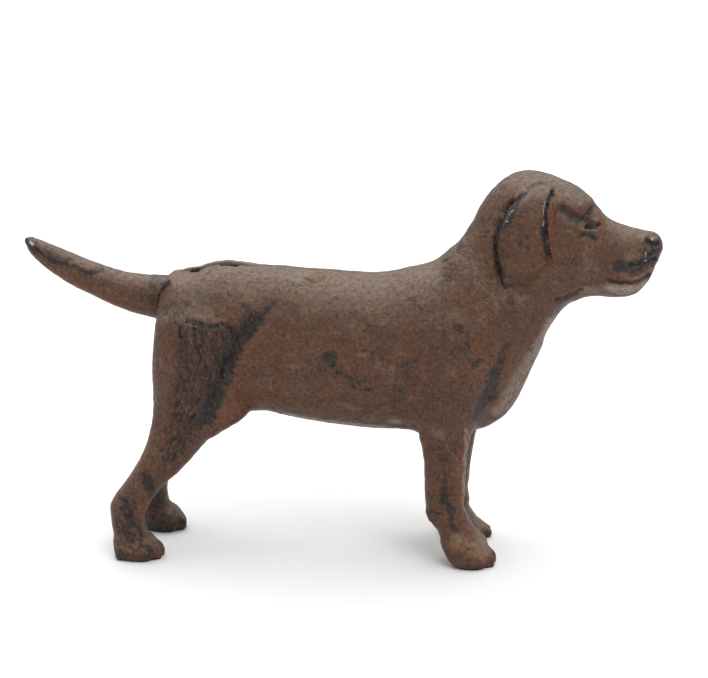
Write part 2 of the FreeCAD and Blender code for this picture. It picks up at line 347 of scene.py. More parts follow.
# The same for the legs of each half, and for the insteps once the toes are on, with reach in y.
LEGS = {
    RIGHT: ((((-80.4, 17.5), (-80.7, 11.5)), 2.6, 1.8, ACROSS), (((-97, 18), (-96.5, 11)), 3.0, 0.8, ACROSS)),
    LEFT: ((((58, 58), (56, 46), (54.8, 36), (54.2, 28)), 2.5, -0.6, PAST),
           (((-75.8, 25), (-77, 19), (-76.8, 12.5)), 2.8, 2.5, ACROSS)),
}
INSTEPS = {
    RIGHT: ((((55.4, 27), (57, 22), (58.6, 18.6), (60.8, 15.6)), 2.6, 1.9, ACROSS),),
    LEFT: ((((56.6, 13.6), (57.8, 10.8), (59.4, 8.6)), 2.2, 2.3, ACROSS),
           (((61.2, 7.8), (63.5, 6.4)), 2.1, 1.2, ACROSS)),
}

FULL_PAW = 9.6  # mm, half the width of a fore paw
PAWS = {
    # front end of the toes, middle of the paw in y, half width, length of the sole
    RIGHT: ((67.9, -18.6, FULL_PAW, 23.0), (-74.0, -19.0, 9.0, 19.5)),
    LEFT: ((65.9, -18.6, FULL_PAW, 23.0), (-70.0, -19.0, 9.0, 19.5)),
}
# Place across a full paw, set back from its front, and half width.
TOES = ((-6.9, 4.3, 2.9), (-2.4, 0.6, 3.1), (2.4, 0.0, 3.1), (6.9, 3.4, 2.9))
TOE_HALF_LENGTH = 6.4
TOE_HALF_HEIGHT = 5.4
TOE_CENTRE_Z = 2.3
HIND_PAD = (-94.4, -80.0, -19.0, 7.5)  # both ends in x, middle in y, half width
COUNTERBORES = ((36.0, 90.0), (-48.0, 101.0))
COUNTERBORE_R = 5.2
COUNTERBORE_RIM_R = 7.5
COUNTERBORE_FLOOR = -16.5


def soften(field):
    """Blur the whole body, more where a limb grows out of it, less at the soles and the tail's seat."""
    crisp = field.values
    soft = blurred(crisp, SOFT / field.voxel)
    softer = blurred(crisp, SOFTER / field.voxel)
    x, _, z = np.meshgrid(*(field.axis(i) for i in range(3)), indexing="ij", sparse=True)
    limbs = 0.0
    for place in GROWTHS:
        limbs = np.maximum(limbs, oval(x, z, *place))
    out = soft + (softer - soft) * limbs.astype(np.float32)
    keep = np.maximum(0.6 * ramp(7.0, 3.0, z), oval(x, z, *TAIL_SEAT)).astype(np.float32)
    field.values = crisp * keep + out * (1 - keep)


def groove(field, line, width, depth, inner_y):
    """Push the surface in by depth along a line in x, z, as far in y as inner_y."""
    line = smooth_line(line, 0.5)
    low, high = line.min(0) - 2.5 * width, line.max(0) + 2.5 * width

    def cut(x, y, z):
        flat = np.stack(np.broadcast_arrays(x[:, 0], z[:, 0]), -1)
        gap = distance_to_line(flat.reshape(-1, 2), line).reshape(flat.shape[:2])
        across = (depth * bump(gap, width))[:, None, :]
        return across * ramp(inner_y, inner_y - 2.0, y)

    field.push((low[0], OUTSIDE, low[1]), (high[0], inner_y, high[1]), cut)


def around(centre, half, edge):
    """Low and high corners of the box round a centre, grown by edge."""
    return [c - h - edge for c, h in zip(centre, half)], [c + h + edge for c, h in zip(centre, half)]


def join(field, shape, box, blend):
    """Smooth union with shape(x, y, z), a distance inside the box."""
    slices, x, y, z = field.window(*box)
    other = shape(x, y, z).astype(np.float32)
    here = field.values[slices]
    mix = np.clip(0.5 + 0.5 * (here - other) / blend, 0.0, 1.0)
    field.values[slices] = here * (1 - mix) + other * mix - blend * mix * (1 - mix)


def add_ellipsoid(field, centre, radii, blend):
    """Smooth union with an ellipsoid."""
    def distance(x, y, z):
        scaled = sum(((v - c) / r) ** 2 for v, c, r in zip((x, y, z), centre, radii))
        return (np.sqrt(scaled) - 1.0) * min(radii)

    join(field, distance, around(centre, radii, 3.0), blend)


def shape_ear(field):
    """Set the ear flap off from the head: a step at its front, a furrow behind and a ragged foot."""
    slices, x, y, z = field.window((58, -40, 114), (94, -5, 168))
    flat_x, flat_z = np.broadcast_arrays(x[:, 0], z[:, 0])
    gap = distance_to_outline(flat_x, flat_z, EAR)
    front = ramp(80, 83.5, flat_x) * ramp(130, 134, flat_z)
    wide = between(145, 153, 4, flat_z) * (1 - front)
    top = ramp(163, 157, flat_z)
    foot = 0.5 + 0.5 * ramp(122, 129, flat_z + 0.6 * (76 - flat_x))
    back = 1.3 * foot * bump(gap - 0.6 - 0.5 * wide, 0.8 + 0.7 * wide) * (1 - front)
    step = 1.5 * bump(gap - 0.5, 0.8) * front
    rim = -0.6 * bump(gap + 0.7, 0.7) * front
    flap = -0.6 * ramp(0.4, -1.8, gap)
    total = ((back + step + rim + flap) * top).astype(np.float32)[:, None, :]
    field.values[slices] += total * ramp(-6, -9, y)


def shape_face(field):
    """Sink the eye's socket, put the eyeball in it, and cut lids, brow, nose and mouth."""
    field.push((97, -30, 139), (111, -4, 154),
               lambda x, y, z: oval(x, z, *EYE_SOCKET) * ramp(-5, -7, y))
    add_ellipsoid(field, EYEBALL, (EYEBALL_R,) * 3, 0.3)
    for row in FACE:
        groove(field, *row)


def shape_paw(field, front, middle, half_width, length):
    """Trim the paw's front, put four toes in its place and round the sole."""
    field.push((front - length - 4, -40, -2), (front + 4, 0, 14),
               lambda x, _, z: 1.5 * ramp(front - 7.5, front - 2.0, x) * ramp(13, 8, z))
    share = half_width / FULL_PAW
    for across, back, radius in TOES:
        toe = (front - TOE_HALF_LENGTH - back, middle + across * share, TOE_CENTRE_Z)
        add_ellipsoid(field, toe, (TOE_HALF_LENGTH, radius * share, TOE_HALF_HEIGHT), 0.9)

    def lift(_, y, z):
        edge = ramp(0.5 * half_width, 1.05 * half_width, np.abs(y - middle))
        return 1.5 * edge * ramp(5, 0, z)

    field.push((front - length - 2, -40, -2), (front + 2, -4, 8), lift)


def square_sole(field, low_x, high_x, middle, half_width):
    """A low pad that fills the paw out to both ends of its sole."""
    half_height = 2.6
    corner = 1.7
    centre = ((low_x + high_x) / 2, middle, half_height)
    half = ((high_x - low_x) / 2, half_width, half_height)

    def distance(x, y, z):
        gaps = [np.abs(v - c) - h + corner for v, c, h in zip((x, y, z), centre, half)]
        outside = np.sqrt(sum(np.maximum(gap, 0) ** 2 for gap in gaps))
        inside = np.minimum(np.maximum(np.maximum(gaps[0], gaps[1]), gaps[2]), 0)
        return outside + inside - corner

    join(field, distance, around(centre, half, 4), 1.5)


def match_seam(field, side):
    """The left half stands proud of the right one at the rump and hangs below it at the belly."""
    def rump(x, y, z):
        near = between(-62, -42, 8, x) * ramp(9, 2, np.abs(y)) * ramp(104, 112, z)
        return (-0.1 if side == LEFT else 0.9) * near

    def belly(x, y, z):
        low = ramp(74, 68, z)
        if side == LEFT:
            return -1.5 * between(-26, 16, 5, x) * ramp(15, 3, np.abs(y)) * low
        return 0.8 * between(-26, 20, 9, x) * ramp(9, 1, np.abs(y)) * low

    rump_box = ((-84, -14, 96), (-24, 10, 140))
    field.push(*rump_box, rump)
    if side == RIGHT:
        field.push(*rump_box, lambda x, y, z: np.interp(x, (-58, -52), (1.1, 2.4)) * seam_gaps(x, y, z))
    field.push((-40, -18, 46), (36, 10, 76), belly)


def seam_gaps(x, y, z):
    """Two places on the rump where the right half stops short of the seam."""
    along = between(-62.5, -59.5, 1.3, x) + between(-49.5, -43.5, 1.3, x)
    return along * ramp(4.0, 1.0, np.abs(y)) * ramp(106, 114, z)


def shape_outline(field, side):
    """Small changes to how far the haunch, flank, legs and nose stand out."""
    def rear(x, _, z):
        amount = 0.1 + 0.35 * bump(z - 59, 7) + 1.0 * bump(z - 104, 5)
        return -amount * ramp(-71, -76, x) * between(54, 106, 5, z)

    field.push((-90, -40, 40), (-66, 12, 114), rear)
    for row in OUTLINE:
        groove(field, *row, PAST)
    for row in LEGS[side]:
        groove(field, *row)


def cut_counterbores(field):
    for bore_x, bore_z in COUNTERBORES:
        slices, x, y, z = field.window((bore_x - 9, -40, bore_z - 9), (bore_x + 9, -8, bore_z + 9))
        radius = np.sqrt((x - bore_x) ** 2 + (z - bore_z) ** 2)
        seat = np.maximum(radius - COUNTERBORE_RIM_R, np.maximum(COUNTERBORE_FLOOR - y, y + 10))
        bore = np.maximum(radius - COUNTERBORE_R, y - COUNTERBORE_FLOOR)
        here = np.minimum(field.values[slices], seat)
        field.values[slices] = np.maximum(here, -bore)


def casting_field(node, side):
    """The sculpted field of one casting, cut off flat at the mid-plane."""
    low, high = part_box(node)
    edge = max(abs(low.y), abs(high.y)) / MM + MARGIN
    field = Field((low.x / MM - MARGIN, -edge, low.z / MM - MARGIN),
                  (high.x / MM + MARGIN, 4 * SOFTER, high.z / MM + MARGIN), VOXEL)
    half = field.measure(*node_arrays(node, side))
    tail = field.measure(*node_arrays("tail", side))
    screws = field.measure(*node_arrays("assembly_screws", side))
    field.values = fill_cavity(field, half, tail)
    field.copy_to_other_side()
    field.values = field.measure(*field.mesh())
    soften(field)
    shape_outline(field, side)
    match_seam(field, side)
    shape_ear(field)
    shape_face(field)
    if side == RIGHT:
        square_sole(field, *HIND_PAD)
    for paw in PAWS[side]:
        shape_paw(field, *paw)
    for row in INSTEPS[side]:
        groove(field, *row)
    if side == LEFT:
        cut_counterbores(field)
    middle, floor = field.axis(1)[None, :, None], -field.axis(2)[None, None, :]
    for cut in (middle, floor, JOINT - tail, JOINT - screws):
        np.maximum(field.values, cut, out=field.values)
    return field


# ---- surface detail

# Lines as x, z points in mm that are both creased and coloured.
HAUNCH_FURROW = ((-27, 111), (-29.8, 108.7), (-35.8, 102.5), (-41, 95.5), (-44.6, 87.5), (-47.2, 79.6),
                 (-50.8, 71.6), (-53.5, 64.4))
CHEST_FURROW = ((70.4, 96.3), (68.8, 91.1), (66.3, 84.9), (64.8, 78.8), (60.7, 70.8), (57.3, 65.4))
THROAT_FOLD = ((90.6, 114.2), (94, 114.8), (97, 115.8), (100.4, 117.8))
HAUNCH_CRACKS = (((-46.6, 103.8), (-43.2, 101.4), (-41.4, 98.6)),
                 ((-38.8, 104.4), (-37.2, 102), (-38.2, 99.2)))
BACK_SCRATCH = ((-13.3, 120.7), (-9.9, 119.7), (-6.5, 120.8))
EAR_DENTS = (((77.4, 142.6), (78, 142.3)), ((74.4, 140.2), (74.9, 139.8)), ((78, 139), (78.6, 138.6)))

# Creases as a line, width and depth in mm. A negative depth is a ridge.
CREASES_BOTH = (
    (HAUNCH_FURROW, 2.9, 0.9), (CHEST_FURROW, 2.6, 0.8),
    (((49.3, 105.1), (54.4, 98.3), (59.5, 90.1), (60, 82)), 2.4, 0.35),
    (((32.6, 91.8), (32.8, 78.7), (35.3, 66.4), (36.6, 58.5)), 2.8, 0.6),
    (((81, 107), (79, 102), (74, 98)), 2.2, 0.3),
    (((88.5, 107.8), (84, 98.8), (79, 86), (72, 73.4), (62, 59.5)), 2.4, -0.35), (THROAT_FOLD, 0.9, 1.3),
    (((39, 24), (42, 24.8), (45.2, 25.2)), 0.8, 0.6),
    (((46.2, 36.5), (45.3, 31), (47.6, 26.6), (49.8, 21.9)), 1.3, 0.55),
    (((-78.7, 39.6), (-78, 35), (-77.6, 30)), 1.5, 0.8),
    (((-91.4, 18.5), (-90, 16), (-88.4, 13.4)), 0.7, 0.6), (((-85.4, 16), (-83.6, 12.6)), 0.6, 0.6),
    (((-86.4, 9), (-84.5, 10.4), (-81.6, 9.6), (-79.4, 6.4)), 0.7, 0.7),
    (((-89.5, 27.4), (-87.5, 23.5), (-86.6, 19.5), (-88, 15.6)), 1.5, 0.9),
    (((-94, 5.6), (-91, 4.6), (-88.6, 5.6), (-86.5, 4.0)), 0.7, 0.5),
)
CREASES_RIGHT = (
    (((-61.6, 105.1), (-57.7, 104.6), (-54, 103.8), (-48.6, 102.6)), 0.9, 1.2),
    (((-58.5, 102.4), (-55.6, 101.3), (-53.5, 99)), 0.6, 0.7), (HAUNCH_CRACKS[0], 0.8, 0.8),
    (HAUNCH_CRACKS[1], 0.7, 0.7),
    (((-33.4, 108.4), (-30.8, 105.6)), 0.7, 0.7), (((-49.8, 107), (-46.2, 106)), 0.6, 0.6),
    (((-4.8, 89.5), (-1.9, 92.4), (0.8, 90.6), (-1.9, 87.4)), 1.0, 0.7),
    (((-0.5, 85.2), (4.3, 82.8), (7.3, 80.4), (6.4, 77.9), (11, 77.2), (15.2, 77.5)), 0.6, 0.4),
    (((2.4, 98), (4, 97.4)), 0.6, 0.4), (((12, 93.6), (16, 92.8), (14.5, 89.8)), 0.6, 0.35),
    (BACK_SCRATCH, 0.6, 0.7), (EAR_DENTS[0], 0.8, 0.5),
    (EAR_DENTS[1], 0.8, 0.5), (EAR_DENTS[2], 0.7, 0.4),
)
# Patches of colour as a line, half width in mm and strength.
PATINA_BOTH = (
    (((-26, 112), (-29.8, 108.7), (-34, 104.2)), 1.3, 0.9),
    (((-33, 105), *HAUNCH_FURROW[2:]), 3.1, 1.1), (((-48, 92), (-52, 86), (-53, 76)), 3.0, 0.45),
    (((-66, 108), (-64.5, 103), (-64, 94)), 2.4, 0.5),
    (((-62, 110), (-56, 113), (-48, 113)), 3.4, 0.35), (((-70.9, 118.8), (-74.5, 114.8)), 1.0, 0.9),
    (((-76.3, 109.9), (-77, 104.6)), 0.8, 0.6), (THROAT_FOLD, 0.8, 0.7),
    (((131.4, 138.4), (132, 134.5), (131, 131.5)), 2.0, 0.5),
    (((-80.7, 38.5), (-79.1, 33.7), (-77.3, 28)), 1.9, 1.0),
    (((-90.8, 27.2), (-88.8, 24.8)), 0.9, 0.9), (((-86.2, 27), (-85, 23.6)), 0.7, 0.8),
    (((-85.6, 12.6), (-86.6, 9.4)), 0.9, 0.9), (((-93, 9), (-92.4, 6.6)), 0.8, 0.9),
    (((-82.4, 9.8), (-80.8, 7)), 0.7, 0.8), (((-92.8, 19), (-92, 13.7)), 0.8, 0.9),
    (((-89.4, 23), (-87.8, 19.6)), 1.2, 1.1), (((-90, 14.4), (-88.2, 10.6)), 1.0, 0.95),
    (((-84.6, 15.4), (-83, 11.5)), 0.7, 0.9), (((-91.6, 5.6), (-92.6, 3.1)), 0.9, 0.9),
    (((-91, 23.9), (-88, 24.8), (-86.3, 22.1)), 1.1, 0.8), (((-87.3, 20.5), (-87, 17)), 1.8, 0.95),
    (((-88.7, 14.8), (-87.5, 12)), 1.2, 0.8), (((-94, 20), (-93, 12)), 0.9, 0.6),
    (((-84, 7.5), (-81.4, 8.1), (-79.5, 5.5), (-78.9, 1.5)), 0.8, 0.95),
    (((-88, 7.4), (-85.8, 6.1)), 0.6, 0.8), (((-94.5, 2.4), (-88, 3), (-84, 3.2), (-79, 2.2)), 1.1, 0.7),
    (((45.8, 38.5), (45.4, 32.9), (45.4, 29.6)), 1.5, 0.95),
    (((46.8, 28.3), (48.6, 25.5), (48.8, 21.8), (50.4, 18.6)), 1.2, 0.85),
    (((39.7, 24.4), (44.6, 24)), 0.8, 0.7), (((44, 56), (45, 48), (45, 40)), 3.0, 0.33),
    (((45.2, 10.4), (47.6, 6.5)), 1.3, 0.6), (((49.3, 105.1), (51.4, 103.9)), 1.5, 0.8),
    (((54.4, 98.6), (54.8, 96.6)), 1.2, 0.7), (((59.8, 90.6), (58, 88.6)), 1.5, 0.8),
    (CHEST_FURROW[:3], 2.0, 0.5), (CHEST_FURROW[2:], 2.9, 0.8),
    (((23.5, 70.3), (27.7, 79.2), (30, 86.2)), 4.6, 0.42),
    (((81, 107), (79, 102.4), (74, 98)), 2.0, 0.35),
    (((92.4, 152.6), (96, 149.8), (100.1, 148.4), (104, 150)), 1.8, 0.95), (EYE_POCKET, 1.2, 0.9),
    (((102.6, 145.6), (105.6, 145.9)), 1.2, 1.3),
    (((116, 128.5), (120.5, 127.8), (124, 128.4), (127, 130.2), (130.5, 132.8)), 2.3, 1.25),
    (((126.2, 134.5), (126, 131)), 1.1, 1.0),
    (((113, 121.9), (118.6, 120.9), (124.2, 121.7), (128.6, 124.8)), 0.75, 0.9),
    (((127.7, 137.6), (129.6, 136.6), (131.4, 136.8)), 1.5, 1.1),
    (((126.6, 137), (126.4, 134), (126.4, 131.6)), 0.8, 0.7),
    (((83.5, 162.3), (80.7, 161.8), (77.5, 159.5), (73.4, 155.3)), 0.7, 1.0),
    (((72.6, 154), (69.8, 149.5), (67.3, 145)), 1.7, 1.1),
    (((66.2, 144), (65.3, 138.4), (65.7, 133.2), (66.9, 127.3), (68.7, 120.8)), 0.9, 1.1),
    (((68.9, 120.9), (72, 121.7), (76.6, 122.3)), 0.9, 0.7),
    (((87.4, 158.8), (85.5, 155.7), (84.6, 151.5), (84.5, 145.6), (85.3, 140.5), (86.4, 134)), 1.0, 1.3),
    (((110, 122.9), (116, 121.2)), 0.6, 0.4),
    (((123.5, 120.2), (127.6, 122.2), (130.5, 125.4)), 0.8, 0.5),
)
PATINA_RIGHT = (
    (((-4, 90.4), (-1.7, 91.4), (-1.4, 88.4)), 1.8, 1.0),
    (((-0.5, 85.4), (4, 83), (7.2, 80.6), (6.4, 78), (11, 77.2), (15, 77.5)), 0.9, 0.6),
    (((2.4, 98.1), (3.6, 97.6)), 0.9, 0.6), (((12, 93.6), (16, 92.8), (14.6, 90)), 1.0, 0.6),
    (((-62, 105.2), (-57.7, 104.6), (-54, 103.8), (-48.6, 102.6)), 0.9, 0.95),
    (HAUNCH_CRACKS[0], 0.8, 0.8), (HAUNCH_CRACKS[1], 0.8, 0.8),
    (EAR_DENTS[0], 1.1, 0.8), (EAR_DENTS[1], 1.0, 0.8),
    (EAR_DENTS[2], 0.8, 0.6),
    (((54.4, 142.2), (53.4, 139.6)), 0.7, 0.8), (((51, 134.8), (49.4, 133.2)), 0.8, 0.8),
    (((44.9, 130), (43.9, 129)), 0.7, 0.8),
)
RUST_BOTH = (
    (((33, 76), (35.3, 66.4), (36.6, 58.5), (37.4, 52)), 1.6, 0.95),
    (((26, 92), (30, 84), (33, 74)), 3.5, 0.5), (((57.7, 99.6), (62, 93.6), (65.4, 89.3)), 3.2, 0.75),
    (((88.3, 157.3), (87.2, 151.4), (87.8, 142.9), (88.8, 135.3), (86.5, 129.3)), 1.6, 0.9),
    (((85.6, 129.5), (81.5, 125.6), (76.6, 122.1)), 1.5, 0.6),
    (((107.4, 149.2), (108.2, 146.5), (107.4, 142.9), (106.9, 138.7)), 1.5, 0.85),
    (((99.9, 144.6), (101.6, 147), (103.9, 148.5), (107.2, 147.2)), 0.7, 1.2),
    (((91, 114.4), (95, 115), (100, 117.4)), 1.3, 0.95),
    (((-70.5, 100), (-70.5, 84), (-71.5, 72), (-74, 60)), 3.0, 0.5),
    (((-80.5, 27), (-82, 20), (-80.8, 12)), 2.4, 0.8), (((-84, 33), (-85.5, 27)), 2.0, 0.5),
    (((-45, 66), (-40, 71), (-34, 74)), 3.0, 0.7), (((-36, 98), (-40, 84), (-44, 74)), 2.4, 0.6),
    (((38.4, 56), (38.6, 42), (39.0, 30)), 1.6, 0.6),
    (((53, 56), (51.5, 40), (52.5, 24), (57, 15)), 2.3, 0.65), (((44, 18), (48, 14)), 2.2, 0.6),
    (((52, 10), (58, 7), (64, 4)), 3.6, 0.6), ((*MOUTH[:4], (129.8, 126.1)), 0.8, 1.1),
    (((112, 127), (110, 124.5)), 1.4, 0.6), (((62, 132), (62.6, 124), (66, 118)), 1.8, 0.5),
    (BACK_SCRATCH, 0.8, 0.9),
)
PALE_BOTH = (
    # painted highlight: the pale strip down the chest front stands in for light caught along its front edge
    (((88.9, 104.6), (83.2, 93.2), (77.4, 85.1), (72.5, 76.2), (66.7, 66.3)), 2.8, 0.7),
    (((101, 117.2), (106, 118.2), (112, 118.8)), 2.6, 0.62),
    (((112, 118.8), (118.8, 118.2), (126.3, 120.2)), 2.8, 0.95),
    (((117, 123.2), (124, 123.8), (128.4, 126.6)), 0.6, 0.7),
    # painted glints from here through the nose top: the ear's front rim, the ear's back furrow, the lip and
    # the nose
    (((84.9, 157), (84.1, 152.3), (83.9, 147.3)), 0.45, 1.3),
    (((71.6, 152.6), (69.2, 148.6)), 0.5, 1.2), (((118.4, 128.6), (119.1, 128.2)), 0.45, 1.25),
    (((121.7, 129.4), (122.3, 129.8)), 0.5, 1.25), (((123.4, 127.7), (124.2, 127.9)), 0.4, 1.2),
    (((125.7, 129.3), (126.4, 129.8)), 0.5, 1.25), (((126.1, 134.2), (126.2, 131)), 0.6, 1.3),
    (((128.6, 139), (129.2, 138.8)), 0.5, 1.2),
    # painted highlight along the front edge of the near fore leg
    (((54.6, 61), (54.1, 52), (53.9, 40), (53.6, 31), (54.4, 25)), 0.75, 0.85),
    # painted highlight on the fore paw's top; the paler muzzle top is worn paint plus painted top light
    (((51, 13), (57, 11), (62, 7.5)), 4.4, 0.66), (((108, 141), (114, 139), (121, 137)), 3.5, 0.35),
    # painted glint on the brow
    (((98.9, 154.8), (99.4, 154.6)), 0.8, 0.8),
    (((100.4, 143.9), (103.2, 143.4), (106.5, 143.8)), 0.6, 0.8),
    # painted highlights on the hind paw and hock
    (((-92.5, 6.2), (-88.1, 5.8)), 2.0, 0.5), (((-92.5, 27), (-90.5, 21)), 1.6, 0.4),
    # painted highlight on the fore toes; the paler back top is worn paint plus painted top light
    (((62, 11.5), (65.5, 9)), 1.6, 0.6), (((-12, 114), (4, 112), (20, 110)), 9.0, 0.3),
    # paler neck and rump tops: worn paint plus painted top light
    (((66, 116), (58, 124), (56, 130)), 6.0, 0.42), (((-72, 116), (-60, 115), (-47, 112)), 6.0, 0.34),
)
HAIR_CORNERS = ((-67, 105), (-47, 104.5), (-34, 106), (-40, 93), (-46, 78), (-55, 61), (-64, 48), (-75, 46),
                (-70.5, 62), (-67, 80))
HAIRS = 1300



def close_to(flat, shape, reach):
    """Indices of the points in the box round a shape in x, z, grown by reach."""
    return np.flatnonzero(((flat > shape.min(0) - reach) & (flat < shape.max(0) + reach)).all(1))


def stroke(flat, line, width):
    """Indices of the points near a line in x, z, and how close each is, from 0 to 1."""
    line = smooth_line(line)
    near = close_to(flat, line, 2.4 * width)
    return near, bump(distance_to_line(flat[near], line), width)


def paint(flat, facing, patches):
    """The strongest of a set of soft-edged patches at each point, from 0 to 1."""
    out = np.zeros(len(flat), dtype=np.float32)
    for line, width, strength in patches:
        line = smooth_line(line)
        near = close_to(flat, line, 1.8 * width + 2.0)
        gap = distance_to_line(flat[near], line)
        out[near] = np.maximum(out[near], strength * ramp(1.8 * width, 0.2 * width, gap))
    return out * facing


def coat_lean(z):
    """How far the coat slants back from straight down at a height on the haunch, in radians."""
    return 0.12 - 0.62 * ramp(96, 62, z)


def coat_place(flat):
    """Where points lie across and along the coat, in mm, so that streaks can follow it."""
    heights = np.linspace(110, 30, 161)
    drift = np.concatenate(((0.0,), np.cumsum(np.tan(coat_lean(heights[1:])) * 0.5)))
    across = flat[:, 0] - np.interp(-flat[:, 1], -heights, drift)
    return np.stack((across, flat[:, 1], np.zeros(len(flat))), 1)


def hair(flat, depth, side):
    """Short strokes of the coat on the haunch. They hang down it and turn along the leg."""
    corners = np.array(HAIR_CORNERS)
    haunch = close_to(flat, corners, 6.0)
    flat = flat[haunch]
    rng = np.random.default_rng(11 + side)
    for _ in range(HAIRS):
        start = rng.uniform(corners.min(0), corners.max(0))
        if distance_to_outline(start[:1], start[1:], HAIR_CORNERS)[0] > 0:
            continue
        lean = coat_lean(start[1]) + rng.normal(0, 0.12)
        length = rng.uniform(1.6, 4.2)
        step = np.array((math.sin(lean), -math.cos(lean))) * length
        bend = np.array((step[1], -step[0])) * rng.normal(0, 0.06)
        line = (start, start + step / 2 + bend, start + step)
        near, amount = stroke(flat, line, rng.uniform(0.42, 0.6))
        depth[haunch[near]] += rng.uniform(0.15, 0.38) * amount


def displace(points, normals, side, noise):
    """How far each point is pushed in, in mm, and how much of that is a hollow that holds dirt."""
    flat = points[:, [0, 2]]
    wobble = np.stack((noise(points, 2.2), noise(points + 90.0, 2.2)), 1) * 0.45
    facing = ramp(0.0, 0.35, -normals[:, 1])
    depth = np.zeros(len(points), dtype=np.float32)
    ragged = 1.0 + 0.45 * noise(points, 1.6)
    for line, width, push in CREASES_BOTH + (CREASES_RIGHT if side == RIGHT else ()):
        near, amount = stroke(flat + wobble, line, width)
        depth[near] += push * amount * ragged[near]
    hair(flat, depth, side)
    depth *= facing
    leather = between(-72, -20, 12, points[:, 0]) * ramp(88, 100, points[:, 2])
    ridged = 1.0 - 2.0 * np.abs(noise.layered(points, 3.0, 2))
    lumps = np.zeros(len(points), dtype=np.float32)
    near, amount = stroke(flat, LIP, 2.4)
    lumps[near] = 0.9 * amount * noise(points[near], 1.7)
    grain = (0.12 * noise.layered(points, 1.9, 2) + 0.10 * noise(points, 5.0) + 0.25 * noise(points, 13.0)
             - 0.15 * leather * ridged + lumps * facing)
    pits = 0.5 * ramp(0.62, 0.85, noise(points, 1.5)) * ramp(-0.2, 0.5, noise(points, 9.0))
    return depth + grain + pits, depth + pits


# ---- building the pieces

def surface(field):
    """Points, quads and unit normals of a field's zero surface, with the normals pointing out."""
    points, quads = field.mesh()
    a, b, c, d = (points[quads[:, i]] for i in range(4))
    faces = np.cross(c - a, d - b)
    if (faces * (a + b + c + d)).sum() <= 0:
        quads, faces = quads[:, ::-1], -faces
    normals = np.empty_like(points)
    for axis in range(3):
        normals[:, axis] = sum(np.bincount(quads[:, i], faces[:, axis], len(points)) for i in range(4))
    return points, quads, normals / np.maximum(np.linalg.norm(normals, axis=1, keepdims=True), 1e-9)


def add_object(name, data):
    obj = bpy.data.objects.new(name, data)
    bpy.context.scene.collection.objects.link(obj)
    return obj


def to_object(name, points, quads, side, attributes):
    """A smooth mesh object in metres from local points, with its point attributes."""
    world = points * np.array((MM, -MM * side, MM))
    if side == LEFT:
        quads = quads[:, ::-1]
    mesh = bpy.data.meshes.new(name)
    mesh.vertices.add(len(world))
    mesh.vertices.foreach_set("co", world.astype(np.float32).ravel())
    mesh.loops.add(quads.size)
    mesh.loops.foreach_set("vertex_index", quads.astype(np.int32).ravel())
    mesh.polygons.add(len(quads))
    mesh.polygons.foreach_set("loop_start", np.arange(0, quads.size, 4, dtype=np.int32))
    mesh.polygons.foreach_set("use_smooth", np.ones(len(quads), dtype=bool))
    mesh.update(calc_edges=True)
    for key, values in attributes.items():
        kind, name_of_value = ("FLOAT", "value") if values.ndim == 1 else ("FLOAT_VECTOR", "vector")
        layer = mesh.attributes.new(key, kind, "POINT")
        layer.data.foreach_set(name_of_value, values.astype(np.float32).ravel())
    return add_object(name, mesh)


def settle(obj, node):
    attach(obj, "root")
    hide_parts(node)


def dust_and_top_light_on(normals):
    """Upward surfaces are paler: a dusting and handling, plus painted light falling from above."""
    return ramp(0.15, 0.95, normals[:, 2])


